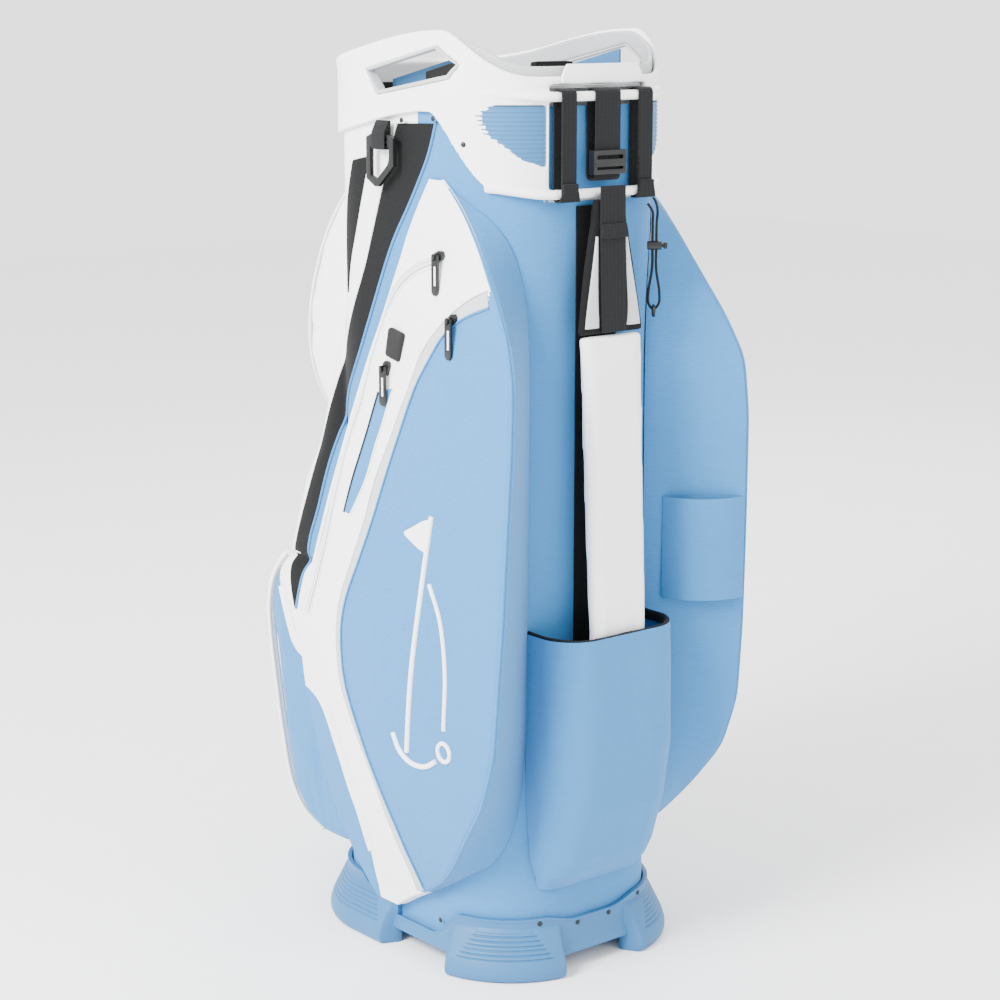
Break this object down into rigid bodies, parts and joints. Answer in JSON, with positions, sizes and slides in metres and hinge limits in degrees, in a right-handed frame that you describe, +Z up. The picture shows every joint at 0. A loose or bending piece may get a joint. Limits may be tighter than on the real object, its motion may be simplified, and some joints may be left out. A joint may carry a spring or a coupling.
{
  "type": "golf cart bag",
  "caption": "Upright cart-style golf bag on a moulded base, with divided club wells, side grips, zipped pockets, shoulder strap, strap pouch and towel ring.",
  "frame": {"origin": "on the ground, under the middle of the bag's outline", "axes": "+Z up along the tube; +Y to the strap and rear handle; +X to the side with the towel ring"},
  "size_m": [0.3182, 0.462, 0.904],
  "materials": {
    "blue_fabric": "woven polyester, light blue",
    "white_fabric": "coated woven polyester, white",
    "black_fabric": "padded fabric, black",
    "black_webbing": "woven webbing, black",
    "blue_plastic": "moulded, light blue, fine grain",
    "white_plastic": "moulded, white, satin",
    "grey_plastic": "moulded, light grey",
    "black_plastic": "moulded, black, satin",
    "steel": "flat steel stay"
  },
  "bodies": {
    "bag": {"base_shell": "blue_plastic", "tube_panel_front": "white_fabric", "tube_panel_right": "blue_fabric", "tube_panel_left": "blue_fabric", "tube_panel_rear": "blue_fabric", "spine_strip": "black_fabric", "spine_stay": "steel", "collar_shell": "white_plastic", "collar_liner": "grey_plastic", "handle_recess": "grey_plastic", "rear_cover": "white_plastic", "ribbed_inlay_right": "blue_plastic", "grip_bezel_right": "grey_plastic", "grip_recess_right": "blue_plastic", "recess_pad_right": "black_plastic", "ribbed_inlay_left": "blue_plastic", "grip_bezel_left": "grey_plastic", "grip_recess_left": "blue_plastic", "recess_pad_left": "black_plastic", "well_cross_1": "black_fabric", "well_cross_2": "black_fabric", "well_cross_3": "black_fabric", "well_cross_4": "black_fabric", "well_long_right": "black_fabric", "well_long_left": "black_fabric", "well_front": "black_fabric", "side_pocket_right": "blue_fabric", "side_pocket_left": "blue_fabric", "yoke_right": "white_fabric", "yoke_left": "white_fabric", "cooler_pocket": "white_fabric", "ball_pocket": "blue_fabric", "front_flare": "white_fabric", "strap_pouch": "blue_fabric", "pouch_binding": "black_webbing", "elastic_band": "blue_fabric", "strap_webbing": "black_webbing", "strap_pad": "black_fabric", "strap_tail": "black_webbing", "strap_sleeve": "white_fabric", "webbing_loop_right": "black_webbing", "webbing_loop_left": "black_webbing", "towel_loop": "black_webbing", "loose_cord": "black_webbing", "cord_ring": "black_plastic"},
    "tri_glide": {"tri_glide": "black_plastic"},
    "towel_ring": {"towel_ring": "black_plastic"},
    "cord_lock": {"cord_lock": "black_plastic"},
    "cord_lock_button": {"cord_lock_button": "black_plastic"},
    "yoke_zip_slider": {"yoke_zip_slider": "black_plastic"},
    "yoke_zip_tab": {"yoke_zip_tab": "black_plastic"},
    "main_zip_slider": {"main_zip_slider": "black_plastic"},
    "main_zip_tab": {"main_zip_tab": "black_plastic"},
    "quick_zip_slider": {"quick_zip_slider": "black_plastic"},
    "quick_zip_tab": {"quick_zip_tab": "black_plastic"}
  },
  "joints": [
    {"name": "tri_glide_slide", "type": "slide", "parent": "bag", "child": "tri_glide", "axis": [0, 0, 1], "range_m": [-0.004, 0.04]},
    {"name": "towel_ring_hinge", "type": "hinge", "parent": "bag", "child": "towel_ring", "pos_m": [0.126, 0.012, 0.8], "axis": [0, -1, 0], "range_deg": [0, 130]},
    {"name": "yoke_zip_travel", "type": "slide", "parent": "bag", "child": "yoke_zip_slider", "axis": [0.0257, -0.9114, -0.4107], "range_m": [0, 0.03]},
    {"name": "yoke_zip_tab_hinge", "type": "hinge", "parent": "yoke_zip_slider", "child": "yoke_zip_tab", "pos_m": [0.13508, 0.105, 0.7], "axis": [0, -1, 0], "range_deg": [0, 150]},
    {"name": "main_zip_travel", "type": "slide", "parent": "bag", "child": "main_zip_slider", "axis": [0.0791, -0.7576, -0.6479], "range_m": [0, 0.05]},
    {"name": "main_zip_tab_hinge", "type": "hinge", "parent": "main_zip_slider", "child": "main_zip_tab", "pos_m": [0.145, 0.137, 0.645], "axis": [0, -1, 0], "range_deg": [0, 150]},
    {"name": "quick_zip_travel", "type": "slide", "parent": "bag", "child": "quick_zip_slider", "axis": [0.051, -0.3397, -0.9392], "range_m": [0, 0.15]},
    {"name": "quick_zip_tab_hinge", "type": "hinge", "parent": "quick_zip_slider", "child": "quick_zip_tab", "pos_m": [0.14714, 0.039, 0.59], "axis": [0, -1, 0], "range_deg": [0, 150]},
    {"name": "cord_lock_slide", "type": "slide", "parent": "bag", "child": "cord_lock", "axis": [0, 0, 1], "range_m": [-0.015, 0.015]},
    {"name": "cord_lock_button_press", "type": "slide", "parent": "cord_lock", "child": "cord_lock_button", "axis": [0.8191, -0.5736, 0], "range_m": [0, 0.0022], "stiffness_N_per_m": 300, "springref_m": -0.002}
  ]
}
